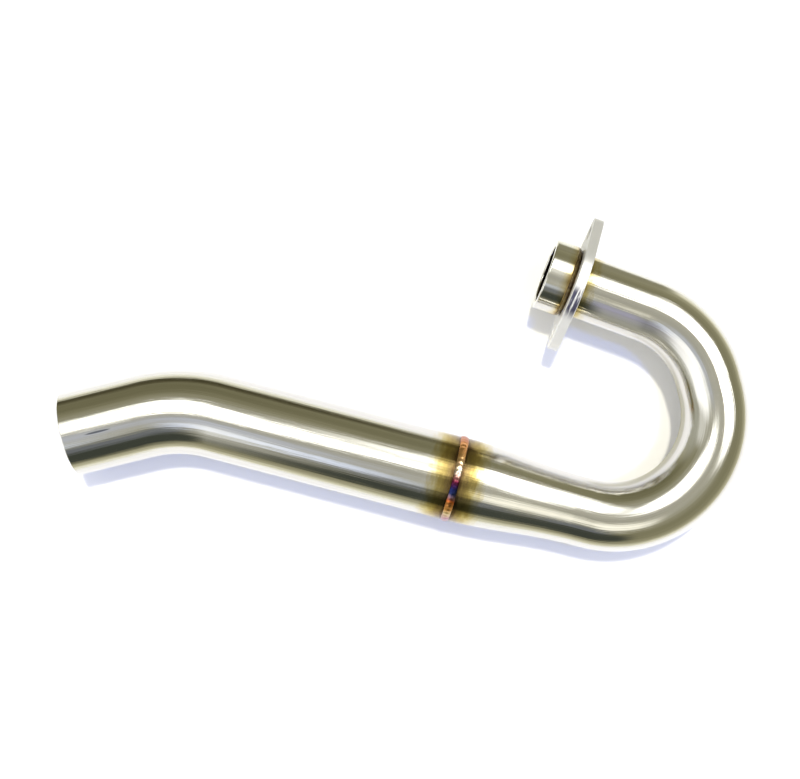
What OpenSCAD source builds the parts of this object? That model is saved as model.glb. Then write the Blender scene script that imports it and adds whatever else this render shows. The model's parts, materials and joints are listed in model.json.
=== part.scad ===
// Motorcycle exhaust header: one cylinder's pipe, from the port collar round a tapered U-bend to the outlet.
// The port collar's end face is at the origin and its axis is X: the collar looks along -X, the pipe runs to +X.
// The part lies as it rests, on the loose flange's round edge and on the tail pipe, with +Z up.

/* [Port collar] */
// Outside diameter of the turned collar that enters the cylinder head's port
collar_od = 43.2; // [42.6:0.1:48]
// Length of the collar along the pipe
collar_len = 14; // [10:0.5:20]
// Diameter of the gas way at the collar's mouth
collar_bore = 35.5; // [32:0.1:37]
// Length of the collar's mouth, up to the step that the pipe's end seats against
collar_step = 5; // [3:0.5:8]
// Width of the bevels on the collar's edges
collar_bevel = 0.7; // [0.2:0.1:1]

/* [Loose flange] */
// Distance between the two stud holes
stud_spacing = 63; // [58:0.5:72]
// Diameter of the stud holes
stud_hole_d = 9; // [7:0.1:10]
// Radius of the rounded ears around the stud holes
ear_r = 9.8; // [8:0.1:12]
// Radius of the flange's round middle
flange_r = 29.5; // [27:0.5:32]
// Thickness of the flange plate
flange_t = 6; // [4:0.5:10]
// Gap all round between the flange's hole and the pipe that it slides on
flange_clearance = 0.6; // [0.4:0.1:1]

/* [Head pipe] */
// Outside diameter at the port, from the collar to the first bend
neck_od = 38.1; // [36:0.1:39]
// Outside diameter that the tapered U-bend grows to
bend_od = 41.6; // [39.5:0.1:46]
// Wall of both pipes
wall = 1.5; // [1:0.1:2]
// Distance from the collar's end face to the start of the U-bend
neck_len = 64.4; // [58:0.1:90]
// Radius of the U-bend's centreline
bend_r = 60.5; // [56:0.5:80]
// Turn of the U-bend's first arc, in degrees
upper_turn = 55.5; // [45:0.5:65]
// Short straight between the U-bend's two arcs
bend_straight = 6.6; // [2:0.1:20]
// Turn of the U-bend's second arc, in degrees
lower_turn = 119.2; // [105:0.1:122]
// Straight from the U-bend to the cone
cone_lead = 10.8; // [5:0.1:20]
// Length of the cone that opens to the tail pipe's diameter
cone_len = 64.5; // [50:0.5:80]
// Straight from the cone to the weld
cone_tail = 7.9; // [4:0.1:15]

/* [Tail pipe] */
// Outside diameter of the tail pipe
tail_od = 50.8; // [48:0.1:54]
// Straight from the weld to the tail bend
tail_len = 146.7; // [120:0.1:200]
// Radius of the tail bend's centreline
tail_bend_r = 90; // [80:1:130]
// Turn of the tail bend, in degrees
tail_turn = 28.3; // [15:0.1:35]
// Straight outlet after the tail bend
outlet_len = 45.3; // [30:0.1:60]

/* [Welds] */
// Width of the bead that joins the two pipes
bead_w = 5; // [3.5:0.1:7]
// Height of the bead above the pipes
bead_h = 0.9; // [0.4:0.1:1.5]
// Gap between the two pipes' ends, which the bead's root fills
root_gap = 1.6; // [1:0.1:2.5]
// Width of the fillet bead behind the collar
fillet_leg = 2.2; // [1.5:0.1:2.5]
// Distance from one weld ripple to the next
ripple_pitch = 3.2; // [2.8:0.1:5]

/* [Hidden] */

// Clearances: between welded faces, in the collar's socket, and where one loose piece rests on another
skin = 0.05;
socket_gap = 0.15;
seat_gap = 0.3;
// How far a cutting tool passes the face that it cuts
past = 1;
// The tail bend is this much fuller than its straights, and each straight ends this far inside it.
bend_swell = 0.04;
lap = 0.3;

// Rings of the swept head pipe: sides of each, and degrees or steps from one to the next
sweep_sides = 40;
bend_step = 5;
cone_steps = 8;
// How much the cone's two ends are softened
cone_soft = 0.07;
// Points on each weld ripple, and across a bead
ripple_points = 3;
bead_steps = 6;
// How much lower a bead is between its ripples, and how far the ripples' ends trail, in degrees of one ripple
ripple_depth = 0.35;
ripple_trail = 110;
// How far the bead's root stands proud inside the pipe
root_proud = 0.3;
// How far the fillet bead's middle bulges out of its straight slope
fillet_bulge = 0.35;
round_fn = 96;

neck_r = neck_od / 2;
tail_r = tail_od / 2;
flange_x = collar_len + fillet_leg + seat_gap;
pipe_x = collar_step + seat_gap;

// A place on the centreline is [x, y, heading in degrees].
function ahead(p, d) = [p[0] + d * cos(p[2]), p[1] + d * sin(p[2]), p[2]];
// A turn to the right by angle a; a negative radius and angle turn to the left.
function turned(p, r, a) = [
    p[0] + r * (sin(p[2]) - sin(p[2] - a)),
    p[1] - r * (cos(p[2]) - cos(p[2] - a)),
    p[2] - a
];

pipe_start = [pipe_x, 0, 0];
upper_start = [neck_len, 0, 0];
upper_end = turned(upper_start, bend_r, upper_turn);
lower_start = ahead(upper_end, bend_straight);
lower_end = turned(lower_start, bend_r, lower_turn);
cone_start = ahead(lower_end, cone_lead);
weld_place = ahead(cone_start, cone_len + cone_tail);
head_end = ahead(weld_place, -root_gap / 2);
tail_start = ahead(weld_place, root_gap / 2);
tail_bend_start = ahead(weld_place, tail_len);
outlet_start = turned(tail_bend_start, -tail_bend_r, -tail_turn);
outlet_end = ahead(outlet_start, outlet_len);

// The pipes' common plane leans about the X axis until the outlet rests on the flange's level.
rest_roll = asin((flange_r - tail_r) / -outlet_end[1]);

function mix(a, b, t) = a + (b - a) * t;
function ease_out(t) = 1 - (1 - t) * (1 - t);
function softened(t) = t - cone_soft * sin(360 * t);

// The head pipe's outside radius after a given turn, and at a fraction of the cone's length
function bend_radius(turn) = mix(neck_r, bend_od / 2, ease_out(turn / (upper_turn + lower_turn)));
function cone_radius(t) = mix(bend_od / 2, tail_r, softened(t));

upper_steps = ceil(upper_turn / bend_step);
lower_steps = ceil(lower_turn / bend_step);

// Each ring of the head pipe is [place, outside radius].
head_rings = concat(
    [[pipe_start, neck_r]],
    [for (i = [0:upper_steps]) let (turn = upper_turn * i / upper_steps)
        [turned(upper_start, bend_r, turn), bend_radius(turn)]],
    [for (i = [0:lower_steps]) let (turn = lower_turn * i / lower_steps)
        [turned(lower_start, bend_r, turn), bend_radius(upper_turn + turn)]],
    [for (i = [0:cone_steps]) [ahead(cone_start, cone_len * i / cone_steps), cone_radius(i / cone_steps)]],
    [[head_end, tail_r]]
);

// A ring of points round a place on the centreline
function ring_points(place, r, sides) = [
    for (j = [0:sides - 1]) let (a = 360 * j / sides) [
        place[0] - r * cos(a) * sin(place[2]),
        place[1] + r * cos(a) * cos(place[2]),
        r * sin(a)
    ]
];

// A pipe swept through rings of any radius, with its wall and both cut ends
module swept_pipe(rings, thickness, sides) {
    count = len(rings);
    inner = count * sides;
    outer_points = [for (ring = rings) each ring_points(ring[0], ring[1], sides)];
    inner_points = [for (ring = rings) each ring_points(ring[0], ring[1] - thickness, sides)];
    skins = [
        for (i = [0:count - 2]) for (j = [0:sides - 1])
            let (a = i * sides + j, b = i * sides + (j + 1) % sides, c = a + sides, d = b + sides)
            each [
                [a, c, d], [a, d, b],
                [inner + a, inner + d, inner + c], [inner + a, inner + b, inner + d]
            ]
    ];
    last = (count - 1) * sides;
    ends = [
        for (j = [0:sides - 1]) let (k = (j + 1) % sides)
            each [
                [j, k, inner + k, inner + j],
                [last + j, inner + last + j, inner + last + k, last + k]
            ]
    ];
    polyhedron(points = concat(outer_points, inner_points), faces = concat(skins, ends));
}

// A closed ring about the X axis, from one section outline for each step round it, each point [along X, radius]
module closed_ring(sections) {
    steps = len(sections);
    corners = len(sections[0]);
    points = [
        for (j = [0:steps - 1]) for (p = sections[j]) let (a = 360 * j / steps)
            [p[0], p[1] * cos(a), p[1] * sin(a)]
    ];
    faces = [
        for (j = [0:steps - 1]) for (k = [0:corners - 1])
            let (
                a = j * corners + k,
                b = j * corners + (k + 1) % corners,
                c = (j + 1) % steps * corners + k,
                d = (j + 1) % steps * corners + (k + 1) % corners
            )
            each [[a, c, d], [a, d, b]]
    ];
    polyhedron(points = points, faces = faces);
}

// A weld's ripples trail at the bead's edges: height from 1 on a crest down to 1 - ripple_depth between two.
function ripple(a, count, across) = 1 - ripple_depth * (0.5 - 0.5 * cos(count * a + ripple_trail * across * across));
function ripple_count(r) = round(360 * r / (ripple_pitch * 180 / PI));

// One section of the butt weld at angle a round it: the rippled cap, then the root between the pipes' ends
function bead_section(a, count) =
    let (root = root_gap / 2 - skin, base = tail_r + skin, inside = tail_r - wall - root_proud)
    concat(
        [for (i = [0:bead_steps]) let (t = 2 * i / bead_steps - 1)
            [t * bead_w / 2, base + (bead_h - skin) * (1 - t * t) * ripple(a, count, t)]],
        [[root, base], [root, inside], [-root, inside], [-root, base]]
    );

// One section of the fillet weld at angle a round it: its corner, then the rippled slope
function fillet_section(a, count) = concat(
    [[skin, neck_r + skin]],
    [for (i = [0:bead_steps])
        let (
            t = i / bead_steps,
            out = fillet_bulge * sin(180 * t) * (2 * ripple(a, count, 2 * t - 1) - 1)
        )
        [mix(skin, fillet_leg, t) + out, neck_r + mix(fillet_leg, skin, t) + out]]
);

// Moves a child that runs along +X to a place on the centreline
module placed(place) {
    translate([place[0], place[1], 0]) rotate([0, 0, place[2]]) children();
}

// Leans a child into the pipes' common plane
module in_plane() {
    rotate([rest_roll, 0, 0]) children();
}

module rod(r, from, to) {
    translate([from, 0, 0]) rotate([0, 90, 0]) cylinder(r = r, h = to - from, $fn = round_fn);
}

// The tail pipe's run at one radius: straight, bend and outlet, with both ends lengthened by extra
module tail_run(r, extra) {
    placed(tail_start) rod(r, -extra, tail_len - root_gap / 2 + lap);
    translate([
        tail_bend_start[0] - tail_bend_r * sin(tail_bend_start[2]),
        tail_bend_start[1] + tail_bend_r * cos(tail_bend_start[2]),
        0
    ])
        rotate([0, 0, tail_bend_start[2] - 90])
            rotate_extrude(angle = tail_turn, $fn = round_fn)
                translate([tail_bend_r, 0]) circle(r = r + bend_swell, $fn = round_fn);
    placed(outlet_start) rod(r, -lap, outlet_len + extra);
}

// The flange's straight flanks touch the round middle and the ears, where the outline turns by this angle.
function flank_lean() = acos((flange_r - ear_r) / (stud_spacing / 2));

// Where a flank touches an arc, for a circle of radius r at a distance along the flange's long axis
function flank_touch(r, distance) = [distance + r * cos(flank_lean()), r * sin(flank_lean())];

module flange_outline() {
    reach = stud_spacing / 2;
    middle = flank_touch(flange_r, 0);
    ear = flank_touch(ear_r, reach);
    circle(r = flange_r, $fn = round_fn);
    for (side = [-1, 1]) translate([side * reach, 0]) circle(r = ear_r, $fn = round_fn);
    polygon([
        ear, middle, [-middle[0], middle[1]], [-ear[0], ear[1]],
        -ear, -middle, [middle[0], -middle[1]], [ear[0], -ear[1]]
    ]);
}

module port_collar() {
    outer = collar_od / 2;
    mouth = collar_bore / 2;
    socket = neck_r + socket_gap;
    color("gainsboro")
        rotate([90, 0, 90])
            rotate_extrude($fn = round_fn)
                polygon([
                    [mouth + collar_bevel, 0],
                    [outer - collar_bevel, 0],
                    [outer, collar_bevel],
                    [outer, collar_len - collar_bevel],
                    [outer - collar_bevel, collar_len],
                    [socket, collar_len],
                    [socket, collar_step],
                    [mouth, collar_step],
                    [mouth, collar_bevel]
                ]);
}

module collar_weld() {
    count = ripple_count(neck_r);
    steps = count * ripple_points;
    color("goldenrod")
        translate([collar_len, 0, 0])
            closed_ring([for (j = [0:steps - 1]) fillet_section(360 * j / steps, count)]);
}

module port_flange() {
    color("silver")
        translate([flange_x, 0, 0])
            difference() {
                rotate([90, 0, 90]) linear_extrude(flange_t) flange_outline();
                rod(neck_r + flange_clearance, -past, flange_t + past);
                for (side = [-1, 1])
                    translate([0, side * stud_spacing / 2, 0]) rod(stud_hole_d / 2, -past, flange_t + past);
            }
}

module head_pipe() {
    color("darkgray") in_plane() swept_pipe(head_rings, wall, sweep_sides);
}

module mid_weld() {
    count = ripple_count(tail_r);
    steps = count * ripple_points;
    color("peru")
        in_plane()
            placed(weld_place)
                closed_ring([for (j = [0:steps - 1]) bead_section(360 * j / steps, count)]);
}

module tail_pipe() {
    color("darkgray")
        in_plane()
            difference() {
                tail_run(tail_r, 0);
                tail_run(tail_r - wall, past);
            }
}

port_collar();
collar_weld();
port_flange();
head_pipe();
mid_weld();
tail_pipe();
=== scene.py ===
# %% [markdown]
# # A motorcycle exhaust header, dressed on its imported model
# The header is a stainless steel pipe from the engine's exhaust port to the silencer. It has six pieces: a
# turned collar, the fillet weld behind it, a loose two-stud flange, the tapered U-bend with its cone, a butt
# weld, and the tail pipe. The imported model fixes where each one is. This file gives them smooth surfaces,
# finishes, a studio and a camera.
# %% Load the frame
import math

import json

import bmesh
import bpy
from mathutils import Matrix, Vector


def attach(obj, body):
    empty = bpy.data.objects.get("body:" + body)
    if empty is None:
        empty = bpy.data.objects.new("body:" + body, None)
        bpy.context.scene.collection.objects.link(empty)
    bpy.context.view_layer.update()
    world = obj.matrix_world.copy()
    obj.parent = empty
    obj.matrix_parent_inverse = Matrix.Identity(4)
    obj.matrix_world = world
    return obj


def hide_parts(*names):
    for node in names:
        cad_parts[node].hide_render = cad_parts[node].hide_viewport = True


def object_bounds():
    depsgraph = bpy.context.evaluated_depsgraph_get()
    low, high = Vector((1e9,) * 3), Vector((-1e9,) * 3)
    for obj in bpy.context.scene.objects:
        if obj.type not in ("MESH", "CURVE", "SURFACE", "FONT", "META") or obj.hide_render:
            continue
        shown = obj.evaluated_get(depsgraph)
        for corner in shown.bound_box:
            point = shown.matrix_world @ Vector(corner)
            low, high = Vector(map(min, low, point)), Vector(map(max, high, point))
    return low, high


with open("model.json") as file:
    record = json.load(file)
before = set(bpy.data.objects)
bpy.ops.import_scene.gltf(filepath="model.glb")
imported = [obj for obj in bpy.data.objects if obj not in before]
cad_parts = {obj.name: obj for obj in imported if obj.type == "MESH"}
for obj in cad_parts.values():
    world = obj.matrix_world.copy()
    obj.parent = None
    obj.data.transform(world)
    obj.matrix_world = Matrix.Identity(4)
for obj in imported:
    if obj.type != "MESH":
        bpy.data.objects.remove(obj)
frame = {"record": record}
cad_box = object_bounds()
scene = bpy.context.scene
MM = 0.001
print("solids' box in mm:", [[round(v / MM, 1) for v in corner] for corner in cad_box])

# %% [markdown]
# ## The route of the pipe
# The pipe bends in one plane, so a place on its centreline is a point and a heading. The sizes are those of
# the solids, in millimetres, and the plane leans a little about the X axis, because the pipe rests on the
# flange's round edge and on the outlet.
# %% Driving sizes
mounts = {m["name"]: m for m in frame["record"]["mounts"]}
COLLAR_R = mounts["port_collar"]["dims"]["r_mm"]
TAIL_R = mounts["outlet"]["dims"]["r_mm"]
STUD_SPACING = mounts["flange_studs"]["dims"]["pcd_mm"]
STUD_HOLE_R = mounts["flange_studs"]["dims"]["hole_r_mm"]
FLANGE_X = mounts["flange_studs"]["pos_m"][0] / MM
FLANGE_R = 29.5
NECK_R = 19.05
BEND_TUBE_R = 20.8
WALL = 1.5
NECK_LEN = 64.4
BEND_R = 60.5
UPPER_TURN = 55.5
BEND_STRAIGHT = 6.6
LOWER_TURN = 119.2
CONE_LEAD = 10.8
CONE_LEN = 64.5
CONE_TAIL = 7.9
CONE_SOFT = 0.07
TAIL_LEN = 146.7
TAIL_BEND_R = 90.0
TAIL_TURN = 28.3
OUTLET_LEN = 45.3
ROOT_GAP = 1.6
PIPE_START = 5.3


# %% Places on the centreline
def ahead(place, distance):
    """The place a distance further along a straight"""
    x, y, heading = place
    a = math.radians(heading)
    return (x + distance * math.cos(a), y + distance * math.sin(a), heading)


def turned(place, radius, angle):
    """The place after a turn to the right; a negative radius and angle turn to the left"""
    x, y, heading = place
    a, b = math.radians(heading), math.radians(heading - angle)
    return (x + radius * (math.sin(a) - math.sin(b)), y - radius * (math.cos(a) - math.cos(b)), heading - angle)


upper_start = (NECK_LEN, 0.0, 0.0)
upper_end = turned(upper_start, BEND_R, UPPER_TURN)
lower_start = ahead(upper_end, BEND_STRAIGHT)
lower_end = turned(lower_start, BEND_R, LOWER_TURN)
cone_start = ahead(lower_end, CONE_LEAD)
weld_place = ahead(cone_start, CONE_LEN + CONE_TAIL)
tail_bend_start = ahead(weld_place, TAIL_LEN)
outlet_start = turned(tail_bend_start, -TAIL_BEND_R, -TAIL_TURN)
outlet_end = ahead(outlet_start, OUTLET_LEN)
REST_ROLL = math.asin((FLANGE_R - TAIL_R) / -outlet_end[1])
LEAN = Matrix.Rotation(REST_ROLL, 4, "X")
print("weld at", [round(v, 2) for v in weld_place], "outlet at", [round(v, 2) for v in outlet_end])

# %% [markdown]
# ## The camera
# The photograph looks straight down on the part from about 0.8 m, with its right-hand side along the
# direction that is 20 degrees round from X. A 60 mm lens on a 36 mm sensor gives that perspective: the
# outlet's rim and the collar's mouth just show as thin ellipses.
# %% Camera
PHOTO_W, PHOTO_H = 800, 779
PHOTO_TURN = math.radians(19.94)
PX_PER_MM = 1.673
LENS_MM, SENSOR_MM = 60.0, 36.0
COLLAR_PX = (545.0, 273.5)
right = Vector((math.cos(PHOTO_TURN), math.sin(PHOTO_TURN), 0))
up = Vector((-math.sin(PHOTO_TURN), math.cos(PHOTO_TURN), 0))
distance = LENS_MM / SENSOR_MM * PHOTO_W / PX_PER_MM * MM
aim = right * (PHOTO_W / 2 - COLLAR_PX[0]) / PX_PER_MM * MM + up * (COLLAR_PX[1] - PHOTO_H / 2) / PX_PER_MM * MM
camera_data = bpy.data.cameras.new("camera")
camera_data.lens = LENS_MM
camera_data.sensor_width = SENSOR_MM
camera_data.sensor_fit = "HORIZONTAL"
camera = bpy.data.objects.new("camera", camera_data)
camera.location = aim + Vector((0, 0, distance))
camera.rotation_euler = (0, 0, PHOTO_TURN)
scene.collection.objects.link(camera)
scene.camera = camera
scene.view_settings.view_transform = "Standard"
print("camera", round(distance, 3), "m above", [round(v, 4) for v in aim])


# %% [markdown]
# ## Colour and node helpers
# Colours are written as they look on a screen, so one function turns sRGB hex to the linear values that the
# shader needs. One more function adds a node, sets its values and links its inputs.
# %% Helpers for materials
def linear(hex_colour):
    """A linear RGBA colour from an sRGB hex string"""
    parts = [int(hex_colour[i : i + 2], 16) / 255 for i in (0, 2, 4)]
    return tuple(c / 12.92 if c <= 0.04045 else ((c + 0.055) / 1.055) ** 2.4 for c in parts) + (1.0,)


def add(tree, kind, settings=None, **inputs):
    """Adds a node, sets its settings, and gives each input a value or a link from another node's output"""
    node = tree.nodes.new(kind)
    for name, value in (settings or {}).items():
        setattr(node, name, value)
    for name, value in inputs.items():
        key = int(name[1:]) if name[0] == "i" and name[1:].isdigit() else name.replace("_", " ")
        socket = node.inputs[key]
        if isinstance(value, bpy.types.NodeSocket):
            tree.links.new(value, socket)
        else:
            socket.default_value = value
    return node


def new_material(name):
    """An empty node material with its output"""
    material = bpy.data.materials.new(name)
    material.use_nodes = True
    material.node_tree.nodes.clear()
    return material, material.node_tree


# %% [markdown]
# ## Sweeping a pipe
# A bent and tapered tube is drawn through a die or formed by water pressure, and its wall keeps its
# thickness. In Blender a curve with a bevel could make it, but its taper and its cut ends are easier to
# control when one ring of vertices is extruded from place to place. The ring goes out along the outside,
# over the cut end, back along the inside, and the first and last rings are bridged. Each vertex keeps how
# far along and around the pipe it is, for the finish.
# %% Sweep helper
SIDES = 144


def placed(place):
    """The matrix that takes a ring in the YZ plane at the origin to a place on the leaning centreline"""
    x, y, heading = place
    spot = Matrix.Translation((x * MM, y * MM, 0))
    return LEAN @ spot @ Matrix.Rotation(math.radians(heading), 4, "Z")


def mesh_object(name, bm, smooth=True):
    """A finished object with its mesh, its faces smooth"""
    mesh = bpy.data.meshes.new(name)
    bm.to_mesh(mesh)
    bm.free()
    obj = bpy.data.objects.new(name, mesh)
    scene.collection.objects.link(obj)
    for face in mesh.polygons:
        face.use_smooth = smooth
    return obj


def keep_crisp(bm):
    """Marks the edges where a broken corner meets a turned or a flat face, so each keeps its own shading"""
    for edge in bm.edges:
        leans = [abs(face.normal.x) for face in edge.link_faces]
        plain = [lean < 0.001 or lean > 0.999 for lean in leans]
        if len(plain) == 2 and plain[0] != plain[1]:
            edge.smooth = False


def write_pipe_map(bm):
    """A UV map in metres: U along the pipe, V round it, with a seam at the last side"""
    along = bm.verts.layers.float["along"]
    around = bm.verts.layers.float["around"]
    pipe_map = bm.loops.layers.uv.new("pipe_map")
    for face in bm.faces:
        turns = [loop.vert[around] for loop in face.loops]
        wraps = max(turns) - min(turns) > 0.5
        for loop, turn in zip(face.loops, turns):
            if wraps and turn < 0.5:
                turn += 1.0
            loop[pipe_map].uv = (loop.vert[along], turn * 2 * math.pi * TAIL_R * MM)


def sweep(name, outside, sides=SIDES):
    """A closed pipe whose outer skin goes through rings of (place, radius, distance along)"""
    rings = walled(outside)
    bm = bmesh.new()
    along = bm.verts.layers.float.new("along")
    around = bm.verts.layers.float.new("around")
    inside = bm.verts.layers.float.new("inside")
    made = bmesh.ops.create_circle(bm, segments=sides, radius=MM)
    ring = made["verts"]
    stand = Matrix.Rotation(math.radians(90), 4, "Y")
    place, radius, distance_along = rings[0]
    here = placed(place) @ Matrix.Scale(radius, 4)
    bmesh.ops.transform(bm, matrix=here @ stand, verts=ring)
    for index, vert in enumerate(ring):
        vert[around] = index / sides
        vert[along] = distance_along
    first = edges = list({e for v in ring for e in v.link_edges})
    for number, (place, radius, distance_along) in enumerate(rings[1:]):
        there = placed(place) @ Matrix.Scale(radius, 4)
        made = bmesh.ops.extrude_edge_only(bm, edges=edges)["geom"]
        ring = [g for g in made if isinstance(g, bmesh.types.BMVert)]
        edges = [g for g in made if isinstance(g, bmesh.types.BMEdge)]
        bmesh.ops.transform(bm, matrix=there @ here.inverted(), verts=ring)
        for vert in ring:
            vert[along] = distance_along
            vert[inside] = float(number > len(outside) + 2)
        here = there
    bmesh.ops.bridge_loops(bm, edges=list(first) + edges)
    bmesh.ops.recalc_face_normals(bm, faces=bm.faces)
    write_pipe_map(bm)
    return mesh_object(name, bm)


def walled(outside, edge=0.25):
    """Rings for both skins of a pipe: out along the outside, over a softened cut end, and back inside"""
    (first, first_r, first_run), (last, last_r, last_run) = outside[0], outside[-1]
    body = [(ahead(first, 2 * edge), first_r, first_run + 2 * edge * MM)] + outside[1:-1]
    body += [(ahead(last, -2 * edge), last_r, last_run - 2 * edge * MM)]
    rings = [(ahead(first, edge), first_r, first_run + edge * MM)] + body
    rings += [(ahead(last, -edge), last_r, last_run - edge * MM)]
    rings += [(last, last_r - edge, last_run), (last, last_r - WALL + edge, last_run)]
    rings += [(ahead(last, -edge), last_r - WALL, last_run - edge * MM)]
    rings += [(place, radius - WALL, run) for place, radius, run in reversed(body)]
    rings += [(ahead(first, edge), first_r - WALL, first_run + edge * MM)]
    rings += [(first, first_r - WALL + edge, first_run), (first, first_r - edge, first_run)]
    return rings


# %% [markdown]
# ## The head pipe
# This tube is 38 mm across at the port. It grows to 41.6 mm round the U-bend and opens in a cone to the tail
# pipe's 50.8 mm, which slows the gas. The bend's growth eases out, and the cone's two ends are softened, as
# a formed tube's are.
# %% Head pipe
def mix(a, b, t):
    return a + (b - a) * t


def ease_out(t):
    return 1 - (1 - t) ** 2


def softened(t):
    return t - CONE_SOFT * math.sin(2 * math.pi * t)


ARC_STEP = 1.5
CONE_STEPS = 40
STRAIGHT_STEP = 8.0


def straight_rings(start, length, radius, run, skip_first=False):
    """Rings along a straight, near enough together for an even finish"""
    steps = max(1, round(length / STRAIGHT_STEP))
    first = 1 if skip_first else 0
    return [
        (ahead(start, length * i / steps), radius, (run + length * i / steps) * MM) for i in range(first, steps + 1)
    ]


def arc_rings(start, bend_radius, turn, radius_at, run):
    """Rings round a bend after its first place; radius_at gives the pipe's radius after a turn"""
    steps = math.ceil(abs(turn) / ARC_STEP)
    rings = []
    for i in range(1, steps + 1):
        part = turn * i / steps
        reach = run + math.radians(abs(part)) * abs(bend_radius)
        rings.append((turned(start, bend_radius, part), radius_at(part), reach * MM))
    return rings


def bend_radius_at(turn):
    return mix(NECK_R, BEND_TUBE_R, ease_out(turn / (UPPER_TURN + LOWER_TURN)))


run_upper = NECK_LEN
run_lower = run_upper + math.radians(UPPER_TURN) * BEND_R + BEND_STRAIGHT
run_cone = run_lower + math.radians(LOWER_TURN) * BEND_R + CONE_LEAD
run_weld = run_cone + CONE_LEN + CONE_TAIL

head_outside = straight_rings((PIPE_START, 0.0, 0.0), NECK_LEN - PIPE_START, NECK_R, PIPE_START)
head_outside += arc_rings(upper_start, BEND_R, UPPER_TURN, bend_radius_at, run_upper)
head_outside += [(lower_start, bend_radius_at(UPPER_TURN), run_lower * MM)]
head_outside += arc_rings(lower_start, BEND_R, LOWER_TURN, lambda t: bend_radius_at(UPPER_TURN + t), run_lower)
for step in range(CONE_STEPS + 1):
    part = step / CONE_STEPS
    cone_ring = ahead(cone_start, CONE_LEN * part)
    head_outside.append((cone_ring, mix(BEND_TUBE_R, TAIL_R, softened(part)), (run_cone + CONE_LEN * part) * MM))
head_outside.append((ahead(weld_place, -ROOT_GAP / 2), TAIL_R, (run_weld - ROOT_GAP / 2) * MM))
head_pipe = sweep("head_pipe_skin", head_outside)
print("head pipe:", len(head_outside), "rings,", len(head_pipe.data.polygons), "faces,", round(run_weld), "mm long")

# %% [markdown]
# ## The tail pipe
# The tail pipe is plain 50.8 mm tube, bent once, with a straight outlet for the silencer's sleeve. The same
# sweep makes it, with one radius all the way.
# %% Tail pipe
tail_start = ahead(weld_place, ROOT_GAP / 2)
run_tail_bend = run_weld + TAIL_LEN
run_outlet = run_tail_bend + math.radians(TAIL_TURN) * TAIL_BEND_R
tail_outside = straight_rings(tail_start, TAIL_LEN - ROOT_GAP / 2, TAIL_R, run_weld + ROOT_GAP / 2)
tail_outside += arc_rings(tail_bend_start, -TAIL_BEND_R, -TAIL_TURN, lambda t: TAIL_R, run_tail_bend)
tail_outside += straight_rings(outlet_start, OUTLET_LEN, TAIL_R, run_outlet, skip_first=True)
tail_pipe = sweep("tail_pipe_skin", tail_outside)
print("tail pipe:", len(tail_outside), "rings,", len(tail_pipe.data.polygons), "faces")

# %% [markdown]
# ## The port collar
# The collar is turned on a lathe and welded to the pipe's end. A profile of its section is spun about the X
# axis, as the lathe would, with small bevels where the tool broke the edges.
# %% Port collar
COLLAR_LEN = 14.0
COLLAR_STEP = 5.0
COLLAR_BORE_R = 17.75
COLLAR_BEVEL = 0.7
SOCKET_R = 19.2
LATHE_STEPS = 144


def full_turn(bm, steps):
    """Spins every edge once round the X axis, and closes the seam"""
    bmesh.ops.spin(
        bm,
        geom=bm.edges[:],
        cent=(0, 0, 0),
        axis=(1, 0, 0),
        dvec=(0, 0, 0),
        angle=2 * math.pi,
        steps=steps,
        use_merge=True,
    )


def lathe(name, profile, bevel_mm, bevel_points):
    """Spins a closed outline of (along X, radius) about the X axis, with its named corners bevelled"""
    bm = bmesh.new()
    corners = [bm.verts.new((x * MM, 0, r * MM)) for x, r in profile]
    for index, corner in enumerate(corners):
        bm.edges.new((corner, corners[(index + 1) % len(corners)]))
    picked = [corners[i] for i in bevel_points]
    bmesh.ops.bevel(
        bm, geom=picked, offset=bevel_mm * MM, affect="VERTICES", segments=4, profile=0.5, material=-1
    )
    full_turn(bm, LATHE_STEPS)
    bmesh.ops.remove_doubles(bm, verts=bm.verts, dist=0.001 * MM)
    bmesh.ops.recalc_face_normals(bm, faces=bm.faces)
    keep_crisp(bm)
    return mesh_object(name, bm)


collar_profile = [
    (0, COLLAR_BORE_R),
    (0, COLLAR_R),
    (COLLAR_LEN, COLLAR_R),
    (COLLAR_LEN, SOCKET_R),
    (COLLAR_STEP, SOCKET_R),
    (COLLAR_STEP, COLLAR_BORE_R),
]
port_collar = lathe("port_collar_turned", collar_profile, COLLAR_BEVEL, [0, 1, 2])
print("collar:", len(port_collar.data.polygons), "faces")

# %% [markdown]
# ## The weld beads
# A hand-held torch leaves a bead of overlapping pools, each a shallow crescent. A section of the bead is
# spun once round, and then each vertex of its cap sinks between two ripples by a cosine that trails at the
# edges. The pools are not quite alike, so each ripple's height and the bead's width wander a little.
# %% Weld beads
BEAD_W, BEAD_H, BEAD_SKIN = 5.0, 0.9, 0.05
FILLET_LEG, FILLET_BULGE = 2.2, 0.35
RIPPLE_PITCH = 3.2
RIPPLE_DEPTH = 0.22
RIPPLE_TRAIL = math.radians(110)
POINTS_PER_RIPPLE = 10
BEAD_POINTS = 16
ROOT_PROUD = 0.3


def ripple(angle, count, across):
    """Height of the cap from 1 on a crest down to 1 - RIPPLE_DEPTH; across runs from -1 to 1 over the bead"""
    return 1 - RIPPLE_DEPTH * (0.5 - 0.5 * math.cos(count * angle + RIPPLE_TRAIL * across * across))


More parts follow.
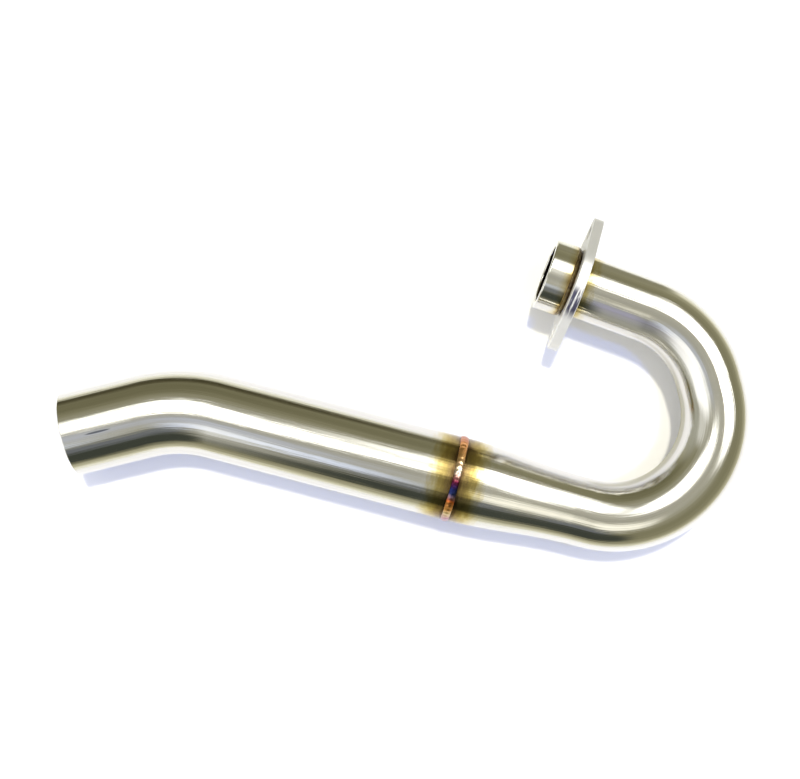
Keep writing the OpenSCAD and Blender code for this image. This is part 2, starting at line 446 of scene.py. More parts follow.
def spun_bead(name, section, radius, matrix, cap_points, shape):
    """Spins a section of (along X, radius) about X; shape gives a cap vertex's new place from its own"""
    count = round(2 * math.pi * radius / RIPPLE_PITCH)
    bm = bmesh.new()
    number = bm.verts.layers.int.new("number")
    along = bm.verts.layers.float.new("along")
    around = bm.verts.layers.float.new("around")
    corners = [bm.verts.new((x * MM, 0, r * MM)) for x, r in section]
    for index, corner in enumerate(corners):
        corner[number] = index
        bm.edges.new((corner, corners[(index + 1) % len(corners)]))
    full_turn(bm, count * POINTS_PER_RIPPLE)
    bmesh.ops.remove_doubles(bm, verts=bm.verts, dist=0.0005 * MM)
    for vert in bm.verts:
        angle = math.atan2(-vert.co.y, vert.co.z)
        if vert[number] <= cap_points:
            x, r = shape(vert[number] / cap_points, angle, count)
            vert.co = Vector((x * MM, -r * MM * math.sin(angle), r * MM * math.cos(angle)))
        vert[along] = vert.co.x
        vert[around] = angle / (2 * math.pi) % 1
    bmesh.ops.recalc_face_normals(bm, faces=bm.faces)
    bmesh.ops.transform(bm, matrix=matrix, verts=bm.verts)
    write_pipe_map(bm)
    return mesh_object(name, bm)


def wander(angle, seed):
    """A slow wobble between -1 and 1 that closes on itself round the weld"""
    return 0.6 * math.sin(3 * angle + seed) + 0.4 * math.sin(7 * angle + 2.1 * seed)


def butt_cap(t, angle, count):
    across = 2 * t - 1
    half = BEAD_W / 2 * (1 - 0.06 * (1 + wander(angle, 1.0)))
    height = (BEAD_H - BEAD_SKIN) * (1 - across * across) * ripple(angle, count, across)
    height *= 1 - 0.08 * (1 + wander(angle, 4.0))
    return across * half, TAIL_R + BEAD_SKIN + height


def fillet_cap(t, angle, count):
    bulge = FILLET_BULGE * math.sin(math.pi * t) * (2 * ripple(angle, count, 2 * t - 1) - 1)
    return mix(BEAD_SKIN, FILLET_LEG, t) + bulge, NECK_R + mix(FILLET_LEG, BEAD_SKIN, t) + bulge


root, root_r = ROOT_GAP / 2 - BEAD_SKIN, TAIL_R - WALL - ROOT_PROUD
cap = [butt_cap(i / BEAD_POINTS, 0, 1) for i in range(BEAD_POINTS + 1)]
cap += [(root, TAIL_R + BEAD_SKIN), (root, root_r), (-root, root_r), (-root, TAIL_R + BEAD_SKIN)]
mid_weld = spun_bead("mid_weld_bead", cap, TAIL_R, placed(weld_place), BEAD_POINTS, butt_cap)

slope = [fillet_cap(i / BEAD_POINTS, 0, 1) for i in range(BEAD_POINTS + 1)]
slope += [(BEAD_SKIN, NECK_R + BEAD_SKIN)]
behind_collar = Matrix.Translation((COLLAR_LEN * MM, 0, 0))
collar_weld = spun_bead("collar_weld_bead", slope, NECK_R, behind_collar, BEAD_POINTS, fillet_cap)
print("beads:", len(mid_weld.data.polygons), "and", len(collar_weld.data.polygons), "faces")

# %% [markdown]
# ## The loose flange
# The flange is cut from 6 mm plate, tumbled and plated. Its outline is a round middle, two ears and the four
# flanks that touch them. Four arcs are spun from single vertices, the flanks join them, and a fill that
# knows about holes makes the face. Extruding it gives the plate, and a bevel breaks its rims, as the
# tumbling does.
# %% Loose flange
EAR_R = 9.8
FLANGE_T = 6.0
FLANGE_CLEARANCE = 0.6
FLANGE_HOLE_R = NECK_R + FLANGE_CLEARANCE
FLANGE_BEVEL = 0.5
MIDDLE_STEPS, EAR_STEPS, HOLE_STEPS = 64, 48, 96
flank_lean = math.acos((FLANGE_R - EAR_R) / (STUD_SPACING / 2))


def spin_arc(bm, centre_y, radius, start, sweep_angle, steps):
    """An arc of edges in the YZ plane; returns its first and last vertex"""
    first = bm.verts.new((0, (centre_y + radius * math.cos(start)) * MM, radius * math.sin(start) * MM))
    made = bmesh.ops.spin(
        bm,
        geom=[first],
        cent=(0, centre_y * MM, 0),
        axis=(1, 0, 0),
        dvec=(0, 0, 0),
        angle=sweep_angle,
        steps=steps,
    )
    last = [g for g in made["geom_last"] if isinstance(g, bmesh.types.BMVert)][0]
    return first, last


bm = bmesh.new()
reach = STUD_SPACING / 2
arcs = [
    spin_arc(bm, reach, EAR_R, -flank_lean, 2 * flank_lean, EAR_STEPS),
    spin_arc(bm, 0, FLANGE_R, flank_lean, math.pi - 2 * flank_lean, MIDDLE_STEPS),
    spin_arc(bm, -reach, EAR_R, math.pi - flank_lean, 2 * flank_lean, EAR_STEPS),
    spin_arc(bm, 0, FLANGE_R, math.pi + flank_lean, math.pi - 2 * flank_lean, MIDDLE_STEPS),
]
for (_, last), (first, _) in zip(arcs, arcs[1:] + arcs[:1]):
    bm.edges.new((last, first))
for centre_y, radius in [(0, FLANGE_HOLE_R), (reach, STUD_HOLE_R), (-reach, STUD_HOLE_R)]:
    stand = Matrix.Translation((0, centre_y * MM, 0)) @ Matrix.Rotation(math.radians(90), 4, "Y")
    bmesh.ops.create_circle(bm, segments=HOLE_STEPS, radius=radius * MM, matrix=stand)
bmesh.ops.triangle_fill(bm, use_beauty=True, edges=bm.edges[:])
made = bmesh.ops.extrude_face_region(bm, geom=bm.faces[:])
far_side = [g for g in made["geom"] if isinstance(g, bmesh.types.BMVert)]
bmesh.ops.translate(bm, vec=(FLANGE_T * MM, 0, 0), verts=far_side)
bmesh.ops.recalc_face_normals(bm, faces=bm.faces)
rims = [e for e in bm.edges if len(e.link_faces) == 2 and e.calc_face_angle() > math.radians(60)]
bmesh.ops.bevel(
    bm, geom=rims, offset=FLANGE_BEVEL * MM, affect="EDGES", segments=3, profile=0.5, material=-1, clamp_overlap=False
)
keep_crisp(bm)
bmesh.ops.translate(bm, vec=(FLANGE_X * MM, 0, 0), verts=bm.verts)
port_flange = mesh_object("port_flange_plate", bm)
print("flange:", len(port_flange.data.polygons), "faces")

# %% Put the pieces in the frame
for piece, node, body in [
    (port_collar, "port_collar", "pipe"),
    (collar_weld, "collar_weld", "pipe"),
    (port_flange, "port_flange", "flange"),
    (head_pipe, "head_pipe", "pipe"),
    (mid_weld, "mid_weld", "pipe"),
    (tail_pipe, "tail_pipe", "pipe"),
]:
    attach(piece, body)
    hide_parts(node)

# %% [markdown]
# ## Patterns that follow a pipe
# The finish of a bent pipe was put on while it was being turned and pulled, so it follows the bends. The
# pipe map holds the distance along and round. Read as a cylinder, it gives a straightened pipe in which a
# noise has no seam, and in which the heat of a weld is simply a distance.
# %% Shader helpers
def calc(tree, operation, *values):
    """The output of one math node"""
    inputs = {f"i{n}": value for n, value in enumerate(values)}
    return add(tree, "ShaderNodeMath", {"operation": operation}, **inputs).outputs[0]


def blend(tree, factor, first, second, kind="MIX"):
    """The output of one colour mix"""
    node = add(tree, "ShaderNodeMix", {"data_type": "RGBA", "blend_type": kind}, i0=factor, i6=first, i7=second)
    return node.outputs[2]


def fade(tree, value, low, high, first=0.0, last=1.0):
    """A smooth step that goes from first to last while the value goes from low to high"""
    settings = {"interpolation_type": "SMOOTHSTEP"}
    return add(tree, "ShaderNodeMapRange", settings, i0=value, i1=low, i2=high, i3=first, i4=last).outputs[0]


def colour_ramp(tree, value, stops):
    """A colour ramp through (position, sRGB hex) stops"""
    node = add(tree, "ShaderNodeValToRGB", Fac=value)
    elements = node.color_ramp.elements
    while len(elements) < len(stops):
        elements.new(0.5)
    for element, (position, colour) in zip(elements, stops):
        element.position = position
        element.color = linear(colour)
    return node.outputs[0]


def noise(tree, vector, scale, detail=2.0, roughness=0.5):
    """A noise value between 0 and 1; scale is in repeats a metre"""
    node = add(tree, "ShaderNodeTexNoise", Vector=vector, Scale=scale, Detail=detail, Roughness=roughness)
    return node.outputs["Fac"]


def stretched(tree, vector, factors):
    """The vector with each part multiplied"""
    return add(tree, "ShaderNodeVectorMath", {"operation": "MULTIPLY"}, i0=vector, i1=factors).outputs[0]


def straightened(tree):
    """The pipe map as (along, side, height) in metres, on a straight cylinder of the tail pipe's radius"""
    pipe_map = add(tree, "ShaderNodeUVMap", {"uv_map": "pipe_map"}).outputs[0]
    parts = add(tree, "ShaderNodeSeparateXYZ", Vector=pipe_map)
    turn = calc(tree, "DIVIDE", parts.outputs[1], TAIL_R * MM)
    side = calc(tree, "MULTIPLY", calc(tree, "COSINE", turn), TAIL_R * MM)
    height = calc(tree, "MULTIPLY", calc(tree, "SINE", turn), TAIL_R * MM)
    return add(tree, "ShaderNodeCombineXYZ", X=parts.outputs[0], Y=side, Z=height).outputs[0], parts.outputs[0], turn


# %% [markdown]
# ## The tubes' steel
# Stainless tube comes satin polished, with very fine lines. Its reflections are a little soft, and they
# break into faint streaks along the tube. Beside a weld the heat leaves temper colours: pale straw furthest
# out, then gold, bronze and brown at the bead. A film of oxide makes them, so they tint the metal's own
# reflection, and a ramp over the distance from the weld is enough. The bore is dull brown soot. One dark
# scuff lies on the outlet, where a sleeve was pushed on. Distances on the pipe map draw it as an oval.
# %% Steel tube
SOOT = linear("3a332c")
TEMPER = [
    (0.0, "705a42"),
    (0.14, "78603f"),
    (0.21, "a08a5c"),
    (0.34, "baa566"),
    (0.46, "d2be7a"),
    (0.57, "e8dba8"),
    (0.70, "f5eed6"),
    (0.84, "ffffff"),
]
TEMPER_REACH = 22 * MM
COLLAR_HEAT_REACH = 20 * MM
FORMED = (run_cone - 12, run_cone + 20)
SETTLED = (run_weld, run_weld + 30)


def temper(tree, along, centre, wobble, reach):
    """Temper colours by the distance from a weld, with an edge that wobbles"""
    gap = calc(tree, "ABSOLUTE", calc(tree, "SUBTRACT", along, centre))
    shift = calc(tree, "MULTIPLY", calc(tree, "SUBTRACT", wobble, 0.5), 0.4)
    return colour_ramp(tree, calc(tree, "ADD", calc(tree, "DIVIDE", gap, reach), shift), TEMPER)


def scuffed(tree, colour, along, turn, scuff):
    """The colour with one dark oval mark: (mm along, degrees round, half length in mm, half width in mm)"""
    middle, degrees, half_len, half_wide = scuff
    far = calc(tree, "DIVIDE", calc(tree, "SUBTRACT", along, middle * MM), half_len * MM)
    off = calc(tree, "MULTIPLY", calc(tree, "SUBTRACT", turn, math.radians(degrees)), TAIL_R / half_wide)
    size = calc(tree, "ADD", calc(tree, "MULTIPLY", far, far), calc(tree, "MULTIPLY", off, off))
    return blend(tree, fade(tree, size, 1.3, 0.5, 0.0, 0.8), colour, linear("55585f"))


def tube_steel(name, welds, scuffs=()):
    """Satin stainless tube; welds lists (metres along, reach of the tint)"""
    material, tree = new_material(name)
    space, along, turn = straightened(tree)
    streaks = noise(tree, stretched(tree, space, (0.02, 1, 1)), 420, 4.0, 0.65)
    smears = noise(tree, stretched(tree, space, (0.35, 1, 1)), 60, 3.0)
    wobble = noise(tree, stretched(tree, space, (3.5, 1, 1)), 120, 3.0)
    dulled = calc(tree, "ADD", calc(tree, "MULTIPLY", smears, 0.16), calc(tree, "MULTIPLY", streaks, 0.4))
    colour = blend(tree, dulled, linear("dddbd4"), linear("a9a69a"))
    for centre, reach in welds:
        colour = blend(tree, 1.0, colour, temper(tree, along, centre, wobble, reach), "MULTIPLY")
    for scuff in scuffs:
        colour = scuffed(tree, colour, along, turn, scuff)
    inside = add(tree, "ShaderNodeAttribute", {"attribute_name": "inside"}).outputs["Fac"]
    colour = blend(tree, inside, colour, blend(tree, smears, SOOT, linear("5a4a3c")))
    rough = calc(tree, "ADD", calc(tree, "MULTIPLY", streaks, 0.07), calc(tree, "MULTIPLY", smears, 0.05))
    formed = fade(tree, along, *(run * MM for run in FORMED), 0.03, 0.09)
    formed = calc(tree, "MULTIPLY", formed, fade(tree, along, *(run * MM for run in SETTLED), 1.0, 0.33))
    rough = calc(tree, "ADD", calc(tree, "ADD", rough, formed), calc(tree, "MULTIPLY", inside, 0.45))
    waves = noise(tree, stretched(tree, space, (0.3, 1, 1)), 45, 1.0)
    rolled = add(tree, "ShaderNodeBump", Strength=1.0, Distance=0.00012, Height=waves)
    lines = add(tree, "ShaderNodeBump", Strength=1.0, Distance=0.00011, Height=streaks, Normal=rolled.outputs[0])
    shader = add(
        tree, "ShaderNodeBsdfPrincipled", Base_Color=colour, Metallic=1.0, Roughness=rough, Normal=lines.outputs[0]
    )
    add(tree, "ShaderNodeOutputMaterial", Surface=shader.outputs[0])
    return material


weld_heat = (run_weld * MM, TEMPER_REACH)
collar_heat = (COLLAR_LEN * MM, COLLAR_HEAT_REACH)
head_steel = tube_steel("satin_stainless_head_tube", [weld_heat, collar_heat])
SCUFF = (run_outlet + OUTLET_LEN - 21.5, 84, 7.5, 0.6)
tail_steel = tube_steel("satin_stainless_tail_tube", [weld_heat], [SCUFF])
print("tube steels:", head_steel.name, tail_steel.name)

# %% [markdown]
# ## The beads' oxide colours
# Each pool of the butt weld cooled at its own rate, so the bead runs from copper through purple and navy to
# orange round the pipe. A ramp over the angle gives that order, and noise shifts it from pool to pool.
# %% Weld metal
BUTT_OXIDES = [
    (0.0, "b09aa2"),
    (0.05, "a07080"),
    (0.11, "cdb890"),
    (0.17, "d09a58"),
    (0.27, "b8602c"),
    (0.325, "7a6068"),
    (0.36, "2a3258"),
    (0.41, "1e2452"),
    (0.45, "3c1c40"),
    (0.50, "5e1e30"),
    (0.55, "8a6058"),
    (0.62, "cdbfae"),
    (0.78, "e0b078"),
    (0.90, "d89a5c"),
    (1.0, "a8684a"),
]


def bead_metal(name, oxides, spread):
    """Bright weld metal whose oxide colours follow the angle, from the low side over the top to the far side"""
    material, tree = new_material(name)
    space, _, turn = straightened(tree)
    patches = noise(tree, space, 170, 3.0, 0.6)
    over = calc(tree, "SINE", turn)
    place = calc(tree, "MULTIPLY_ADD", over, 0.5, 0.5)
    place = calc(tree, "ADD", place, calc(tree, "MULTIPLY", calc(tree, "SUBTRACT", patches, 0.5), spread))
    colour = colour_ramp(tree, place, oxides)
    fine = noise(tree, space, 2500, 2.0)
    rough = calc(tree, "MULTIPLY_ADD", patches, 0.2, 0.2)
    scale_skin = add(tree, "ShaderNodeBump", Strength=0.4, Distance=0.00003, Height=fine)
    grain = scale_skin.outputs[0]
    shader = add(tree, "ShaderNodeBsdfPrincipled", Base_Color=colour, Metallic=1.0, Roughness=rough, Normal=grain)
    add(tree, "ShaderNodeOutputMaterial", Surface=shader.outputs[0])
    return material


butt_metal = bead_metal("heat_coloured_butt_weld", BUTT_OXIDES, 0.14)
# The fillet weld's colours are straw oxide, darkened with painted shade where the bead sits in the corner behind the
# collar.
STRAW_OXIDES_AND_SHADE = [(0.0, "6e6048"), (0.35, "8f7f58"), (0.6, "5e5046"), (0.8, "9c8c62"), (1.0, "7c6a48")]
fillet_metal = bead_metal("straw_and_shaded_fillet_weld", STRAW_OXIDES_AND_SHADE, 0.8)
print("weld metals:", len(BUTT_OXIDES), "and", len(STRAW_OXIDES_AND_SHADE), "oxide colours")

# %% [markdown]
# ## The polished collar
# The collar was polished in the lathe, so its fine lines run round it, and it shines more sharply than the
# tubes. Its back is straw-coloured by the fillet weld's heat, which is a fade along X with a wavy edge.
# %% Lathe polished steel
def place_parts(tree):
    """A place on the piece in metres, whole and as its three parts"""
    place = add(tree, "ShaderNodeTexCoord").outputs["Object"]
    return place, add(tree, "ShaderNodeSeparateXYZ", Vector=place).outputs


TINT_FROM, TINT_TO = 8 * MM, 15 * MM
collar_steel, tree = new_material("lathe_polished_collar")
place, parts = place_parts(tree)
lines = noise(tree, stretched(tree, place, (1, 0.05, 0.05)), 1500, 3.0, 0.6)
smears = noise(tree, place, 110, 3.0)
waved = calc(tree, "MULTIPLY_ADD", smears, 6 * MM, -3 * MM)
heat = fade(tree, calc(tree, "ADD", parts[0], waved), TINT_FROM, TINT_TO)
tint = colour_ramp(tree, heat, [(0.0, "ffffff"), (0.45, "f2e8c8"), (0.8, "cdb47c"), (1.0, "8c7348")])
colour = blend(tree, calc(tree, "MULTIPLY", smears, 0.16), linear("d4d2ca"), linear("b9b6aa"))
colour = blend(tree, 1.0, colour, tint, "MULTIPLY")
rough = calc(tree, "MULTIPLY_ADD", smears, 0.08, 0.06)
turned_lines = add(tree, "ShaderNodeBump", Strength=1.0, Distance=0.0000015, Height=lines).outputs[0]
shader = add(tree, "ShaderNodeBsdfPrincipled", Base_Color=colour, Metallic=1.0, Roughness=rough, Normal=turned_lines)
add(tree, "ShaderNodeOutputMaterial", Surface=shader.outputs[0])
print("collar tinted from", TINT_FROM / MM, "to", TINT_TO / MM, "mm")

# %% [markdown]
# ## The zinc-plated flange
# The flange is plain steel plate with bright zinc on it. Zinc is frosty: it gives back light softly in all
# directions, so its rim is pale where the polished tube beside it mirrors the dark room. A mix of matt and
# metal does that. A painted dark reflection lies in violet-blue streaks on its rim, beside the lower ear, and
# the upper ear is darker with painted shade. Each is a product of fades over the place on the plate.
# %% Zinc plate
RIM_MIDDLE = (FLANGE_X + FLANGE_T / 2) * MM
DARK_REFLECTION_NEAR, DARK_REFLECTION_FAR = (-2 * MM, -8 * MM), (-24 * MM, -17 * MM)
DARK_REFLECTION_OFF_RIM = (2.9 * MM, 2.4 * MM)
DARK_REFLECTION_HEIGHT = (12 * MM, 18 * MM)
SHADED_EAR = (6 * MM, 15 * MM)
flange_steel, tree = new_material("bright_zinc_plated_plate")
place, parts = place_parts(tree)
crystals = noise(tree, place, 900, 3.0, 0.6)
smears = noise(tree, place, 90, 3.0)
streaks = noise(tree, stretched(tree, place, (1, 0.1, 0.1)), 460, 3.0, 0.7)
# Painted dark reflection: violet-blue streaks on the rim, beside the lower ear.
near = calc(tree, "MULTIPLY", fade(tree, parts[1], *DARK_REFLECTION_NEAR), fade(tree, parts[1], *DARK_REFLECTION_FAR))
painted_dark_reflection = calc(tree, "MULTIPLY", near, fade(tree, streaks, 0.4, 0.54))
off_rim = calc(tree, "ABSOLUTE", calc(tree, "SUBTRACT", parts[0], RIM_MIDDLE))
painted_dark_reflection = calc(tree, "MULTIPLY", painted_dark_reflection, fade(tree, off_rim, *DARK_REFLECTION_OFF_RIM))
painted_dark_reflection = calc(tree, "MULTIPLY", painted_dark_reflection, fade(tree, parts[2], *DARK_REFLECTION_HEIGHT))
colour = blend(tree, calc(tree, "MULTIPLY", smears, 0.5), linear("f0efea"), linear("cfcec7"))
# Painted shade: the upper ear is darker.
painted_ear_shade = calc(tree, "MULTIPLY", fade(tree, parts[1], *SHADED_EAR), 0.8)
colour = blend(tree, painted_ear_shade, colour, linear("b0afa7"))
colour = blend(tree, calc(tree, "MULTIPLY", painted_dark_reflection, 0.95), colour, linear("2c2a48"))
rough = calc(tree, "MULTIPLY_ADD", crystals, 0.16, 0.32)
grain = add(tree, "ShaderNodeBump", Strength=0.6, Distance=0.00001, Height=crystals).outputs[0]
shader = add(tree, "ShaderNodeBsdfPrincipled", Base_Color=colour, Metallic=0.5, Roughness=rough, Normal=grain)
add(tree, "ShaderNodeOutputMaterial", Surface=shader.outputs[0])
print("flange finish:", flange_steel.name)

# %% Finishes on the pieces
for piece, material, slot in [
    (port_collar, collar_steel, "polished_collar"),
    (collar_weld, fillet_metal, "collar_bead"),
    (port_flange, flange_steel, "polished_flange"),
    (head_pipe, head_steel, "head_tube"),
    (mid_weld, butt_metal, "tinted_bead"),
    (tail_pipe, tail_steel, "tail_tube"),
]:
    piece.data.materials.append(material)
print("finishes:", len(bpy.data.materials))

# %% [markdown]
# ## The white sheet
# The part lies on white paper. The paper is a large plane with a matt surface. It takes the part's shadow,
# and a little light of its own brings the lit part of it to plain white for the camera, for reflections and
# through glass. Away from the part the sheet ends, so a reflection that runs out low sees the dark room. In
# the crook of the U-bend the paper has a painted shade, darker and khaki and with less glow, that only reflections
# see.
# %% White sheet
FLOOR_HALF = 3.0
floor_z = cad_box[0][2]
bm = bmesh.new()
bmesh.ops.create_grid(bm, x_segments=1, y_segments=1, size=FLOOR_HALF)
bmesh.ops.translate(bm, vec=(0, 0, floor_z), verts=bm.verts)
floor = mesh_object("floor", bm, smooth=False)
SHEETS = [(-146, -105, 240, 75), (63, -110, 135, 105)]
SHEET_ENDS = (0.95, 1.75)
PAPER_GLOW = 0.08
MIRRORED_GLOW = 0.14
# Painted shade in the crook of the U-bend: its oval and its soft edge.
CROOK_SHADE = (68, -94, 24, 33)
CROOK_SHADE_ENDS = (1.3, 0.6)


def dot(tree, vector, fixed):
    """How far a vector reaches along a fixed one"""
    node = add(tree, "ShaderNodeVectorMath", {"operation": "DOT_PRODUCT"}, i0=vector, i1=fixed)
    return node.outputs["Value"]


def oval(tree, place, sizes):
    """How far out a place on the paper is in an oval, 1 at its rim: (right, up) of its middle, half sizes in mm"""
    centre_right, centre_up, half_w, half_h = sizes
    middle = (right * centre_right + up * centre_up) * MM
    offset = add(tree, "ShaderNodeVectorMath", {"operation": "SUBTRACT"}, i0=place, i1=middle).outputs[0]
    parts = []
    for axis, half in ((right, half_w), (up, half_h)):
        part = dot(tree, offset, axis / (half * MM))
        parts.append(calc(tree, "POWER", calc(tree, "ABSOLUTE", part), 2.0))
    return calc(tree, "SQRT", calc(tree, "ADD", *parts))


def sheet_end(tree, place):
    """0 on the sheet and 1 beyond it, from two ovals"""
    reach = calc(tree, "MINIMUM", *(oval(tree, place, sizes) for sizes in SHEETS))
    return fade(tree, reach, *SHEET_ENDS)


paper, tree = new_material("matt_white_paper")
rays = add(tree, "ShaderNodeLightPath").outputs
mirrored = rays["Is Glossy Ray"]
seen = calc(tree, "MAXIMUM", calc(tree, "MAXIMUM", rays["Is Camera Ray"], mirrored), rays["Is Transmission Ray"])
strength = calc(tree, "MULTIPLY_ADD", mirrored, MIRRORED_GLOW, calc(tree, "MULTIPLY", seen, PAPER_GLOW))
place = add(tree, "ShaderNodeTexCoord").outputs["Object"]
# Painted shade in the crook of the U-bend: the paper turns darker and khaki and glows less, for reflections only.
painted_crook_shade = calc(tree, "MULTIPLY", fade(tree, oval(tree, place, CROOK_SHADE), *CROOK_SHADE_ENDS), mirrored)
strength = calc(tree, "MULTIPLY", strength, calc(tree, "SUBTRACT", 1.0, painted_crook_shade))
paper_colour = blend(tree, painted_crook_shade, linear("e6e6e6"), linear("cbc9ba"))
matt = add(tree, "ShaderNodeBsdfDiffuse", Color=paper_colour).outputs[0]
glow = add(tree, "ShaderNodeEmission", Color=linear("ffffff"), Strength=strength).outputs[0]
lit = add(tree, "ShaderNodeAddShader", i0=matt, i1=glow).outputs[0]
clear = add(tree, "ShaderNodeBsdfTransparent").outputs[0]
gone = calc(tree, "MULTIPLY", sheet_end(tree, place), mirrored)
surface = add(tree, "ShaderNodeMixShader", i0=gone, i1=lit, i2=clear)
add(tree, "ShaderNodeOutputMaterial", Surface=surface.outputs[0])
floor.data.materials.append(paper)
print("floor at", round(floor_z / MM, 2), "mm")

# %% [markdown]
# ## The glowing card for a painted reflection
# The neck's lower side is pale where the tail pipe's is nearly black, so it mirrors something close. A
# glowing grey card, 92 mm high, stands in the U-bend to paint that pale reflection on the neck, with its
# grey face to the neck. Only reflections see it, its other face is clear, and its rims fade out, so it has
# no edge to show.
# %% Glowing card for a painted reflection
CARD_MIDDLE, CARD_REACH, CARD_HEIGHT = (46, -72), 40, 92
CARD_ENDS = [(-36, -22), (12, -4)]
CARD_TOP, CARD_FOOT = (CARD_HEIGHT, 56), (0, 8)
CARD_REFLECTION_GREYS = [(0.0, "a6a596"), (0.3, "a2a3a0"), (0.6, "a9a8be"), (1.0, "b4b8c8")]
CARD_GLOW_STRENGTH = 1.3
# Painted reflection: the card glows in greys, and only reflections see it.
reflection_card_paint, tree = new_material("glowing_reflection_card")
middle = (right * CARD_MIDDLE[0] + up * CARD_MIDDLE[1]) * MM
place = add(tree, "ShaderNodeTexCoord").outputs["Object"]
offset = add(tree, "ShaderNodeVectorMath", {"operation": "SUBTRACT"}, i0=place, i1=middle).outputs[0]
across = add(tree, "ShaderNodeSeparateXYZ", Vector=offset).outputs
cover = calc(tree, "MULTIPLY", *(fade(tree, across[0], out * MM, full * MM) for out, full in CARD_ENDS))
for out, full in (CARD_TOP, CARD_FOOT):
    cover = calc(tree, "MULTIPLY", cover, fade(tree, across[2], out * MM, full * MM))
level = colour_ramp(tree, calc(tree, "DIVIDE", across[2], CARD_HEIGHT * MM), CARD_REFLECTION_GREYS)
card_glow = add(tree, "ShaderNodeEmission", Color=level, Strength=CARD_GLOW_STRENGTH).outputs[0]
clear = add(tree, "ShaderNodeBsdfTransparent").outputs[0]
far_face = add(tree, "ShaderNodeNewGeometry").outputs["Backfacing"]
cover = calc(tree, "MULTIPLY", cover, calc(tree, "SUBTRACT", 1.0, far_face))
surface = add(tree, "ShaderNodeMixShader", i0=cover, i1=clear, i2=card_glow)
add(tree, "ShaderNodeOutputMaterial", Surface=surface.outputs[0])
bm = bmesh.new()
corners = []
for reach, lift in [(-CARD_REACH, 0), (CARD_REACH, 0), (CARD_REACH, CARD_HEIGHT), (-CARD_REACH, CARD_HEIGHT)]:
    corners.append(bm.verts.new(middle + Vector((reach * MM, 0, lift * MM))))
face = bm.faces.new(corners)
face.normal_update()
if face.normal.y < 0:
    face.normal_flip()
card = mesh_object("glowing_reflection_card", bm, smooth=False)
card.data.materials.append(reflection_card_paint)
for seen_by in ("camera", "diffuse", "transmission", "volume_scatter", "shadow"):
    setattr(card, f"visible_{seen_by}", False)
print("card at", [round(v / MM) for v in middle])

# %% [markdown]
# ## The studio that the metal reflects
# Polished metal shows its surroundings, so the studio is most of this object's look. Soft boxes hang over
# the part in a room of dull olive. They are drawn in the world by direction: each is a rounded window, given
# by its azimuth and tilt as the photograph lies, with azimuth 0 to its right and 90 to its top. The room's
# walls, bench and doorway are windows too, and a later one covers an earlier one. The camera sees plain
# white, and matt surfaces get an even light.
# %% Studio world
def toward(azimuth, tilt):
    """The direction at an azimuth in the picture and a tilt from overhead, in degrees"""
    a, t = math.radians(azimuth), math.radians(tilt)
    return right * (math.sin(t) * math.cos(a)) + up * (math.sin(t) * math.sin(a)) + Vector((0, 0, math.cos(t)))


def window(tree, looking, azimuth, tilt, half_w, half_h, edge):
    """1 in a rounded window of half sizes in degrees and 0 outside it, with a soft edge"""
    centre = toward(azimuth, tilt)
    side = Vector((0, 0, 1)).cross(centre).normalized()
    rise = centre.cross(side)
    depth = dot(tree, looking, centre)
    parts = []
    for axis, half in ((side, half_w), (rise, half_h)):
        slope = calc(tree, "DIVIDE", dot(tree, looking, axis), calc(tree, "MAXIMUM", depth, 0.001))
        size = calc(tree, "ABSOLUTE", calc(tree, "DIVIDE", slope, math.tan(math.radians(half))))
        parts.append(calc(tree, "POWER", size, 3.0))
    reach = calc(tree, "POWER", calc(tree, "ADD", *parts), 1 / 3)
    mask = fade(tree, reach, 1 + edge, 1 - edge)
    return calc(tree, "MULTIPLY", mask, calc(tree, "GREATER_THAN", depth, 0.0))


ROOM = [
    (0.0, "f7f7ea"),
    (0.25, "f7f7ea"),
    (0.337, "eae8d2"),
    (0.405, "c2bfa4"),
    (0.474, "a29f84"),
    (0.544, "918e73"),
    (0.679, "868369"),
    (0.80, "8b886f"),
    (0.853, "999781"),
    (0.937, "b2b1a4"),
    (0.987, "adab9c"),
    (1.0, "c6c5ba"),
]
WINDOWS = [
    ("dark bench at the top", 102, 98, 36, 10, 0.5, "48442f", 1.0),
    ("olive bench on the upper right", 64, 110, 9, 13, 0.5, "8c8972", 1.0),
    ("olive wall at the top", 105, 74, 34, 16, 0.6, "747157", 1.0),
    ("grey wall on the left", 186, 82, 36, 25, 0.6, "acaca0", 1.0),
    ("pale wall on the left", 178, 54, 14, 14, 0.4, "dcdcd6", 1.0),
    ("light cream floor on the left", 185, 116, 40, 16, 0.5, "cfcfbe", 1.0),
    ("grey haze below the middle", 227, 25, 10, 11, 0.5, "c0c5d2", 1.0),
    ("khaki strip at the middle", 276, 9, 10, 6, 0.8, "abaaa0", 1.0),
    ("grey wall below the left", 238, 62, 12, 17, 0.5, "b4b4ac", 1.0),
    ("dim wall over the doorway", 265, 51, 10, 9, 0.45, "70747a", 1.0),
    ("violet lamp below the middle", 247, 38, 6, 6, 0.5, "d8e2fb", 1.15),
    ("white box on the left", 214, 51, 21, 23, 0.35, "fdfeff", 1.45),
    ("dark doorway", 266.5, 72.5, 17, 15.5, 0.3, "41453e", 1.0),
    ("small cream lamp", 287, 32, 9, 10, 0.4, "fffdf2", 1.3),
    ("white box on the right", 28, 35, 23, 15, 0.5, "ffffff", 5.0),
    ("white box at the middle", 121, 18, 12, 12.8, 0.5, "ffffff", 5.0),
]
AMBIENT = (0.83, 0.83, 0.81, 1.0)
STUDIO_STRENGTH = 1.3
world = bpy.data.worlds.new("studio")
scene.world = world
world.use_nodes = True
tree = world.node_tree
tree.nodes.clear()
looking = add(tree, "ShaderNodeTexCoord").outputs["Generated"]
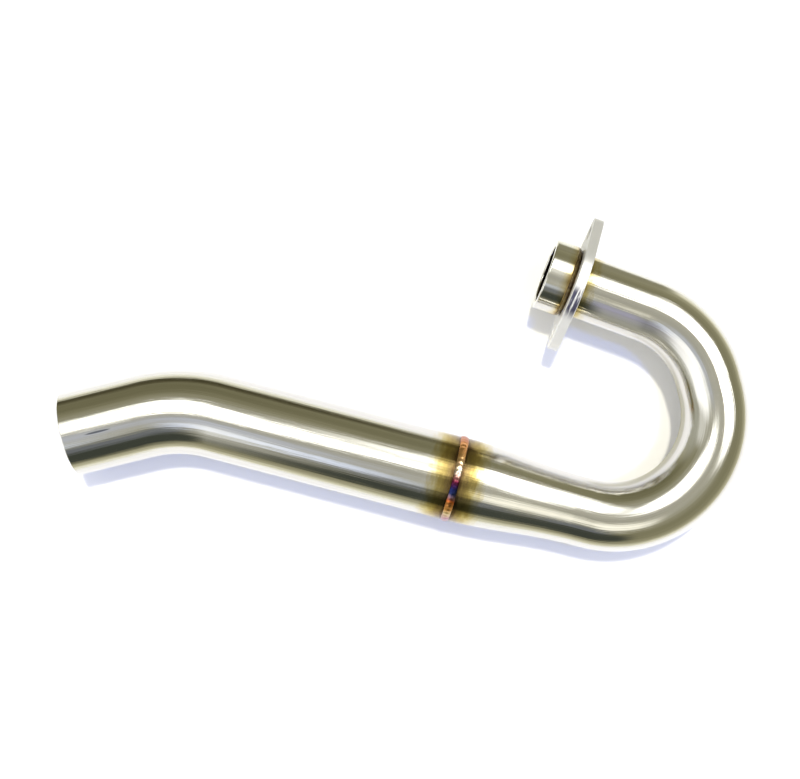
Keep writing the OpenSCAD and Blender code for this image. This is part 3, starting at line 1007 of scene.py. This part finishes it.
height = calc(tree, "MULTIPLY_ADD", dot(tree, looking, (0, 0, 1)), 0.5, 0.5)
room = colour_ramp(tree, height, ROOM)
for _, azimuth, tilt, half_w, half_h, edge, colour, strength in WINDOWS:
    mask = window(tree, looking, azimuth, tilt, half_w, half_h, edge)
    lamp_colour = tuple(c * strength for c in linear(colour)[:3]) + (1.0,)
    room = blend(tree, mask, room, lamp_colour)
rays = add(tree, "ShaderNodeLightPath").outputs
studio = add(tree, "ShaderNodeBackground", Color=room, Strength=STUDIO_STRENGTH).outputs[0]
even = add(tree, "ShaderNodeBackground", Color=AMBIENT, Strength=1.0).outputs[0]
plain = add(tree, "ShaderNodeBackground", Color=linear("ffffff"), Strength=1.0).outputs[0]
lights = add(tree, "ShaderNodeMixShader", i0=rays["Is Diffuse Ray"], i1=studio, i2=even).outputs[0]
whole = add(tree, "ShaderNodeMixShader", i0=rays["Is Camera Ray"], i1=lights, i2=plain)
add(tree, "ShaderNodeOutputWorld", Surface=whole.outputs[0])
print("studio:", len(WINDOWS), "windows,", len(tree.nodes), "nodes")

# %% [markdown]
# ## The key lamps
# Two lamps stand high, a warm one towards the picture's top and a weaker, blue one towards its right. Each
# gives a short shadow with a fairly crisp edge, so they are suns with a small angle. The warm lamp's shadow
# is violet, because the blue lamp lights it, and where both shadows overlap it is a deeper grey. Reflections
# don't show the lamps, because the boxes stand for them there.
# %% Key lamps
LAMPS = [
    ("key", 84, 18, (1.0, 0.95, 0.78), 2.1, 4),
    ("side", 5, 14, (0.05, 0.2, 1.0), 0.8, 6),
]
for name, azimuth, tilt, lamp_colour, energy, spread in LAMPS:
    sun = bpy.data.lights.new(name, "SUN")
    sun.color = lamp_colour
    sun.energy = energy
    sun.angle = math.radians(spread)
    lamp = bpy.data.objects.new(name, sun)
    lamp.rotation_euler = toward(azimuth, tilt).to_track_quat("Z", "Y").to_euler()
    lamp.visible_glossy = False
    scene.collection.objects.link(lamp)
print("lamps:", [name for name, *_ in LAMPS])
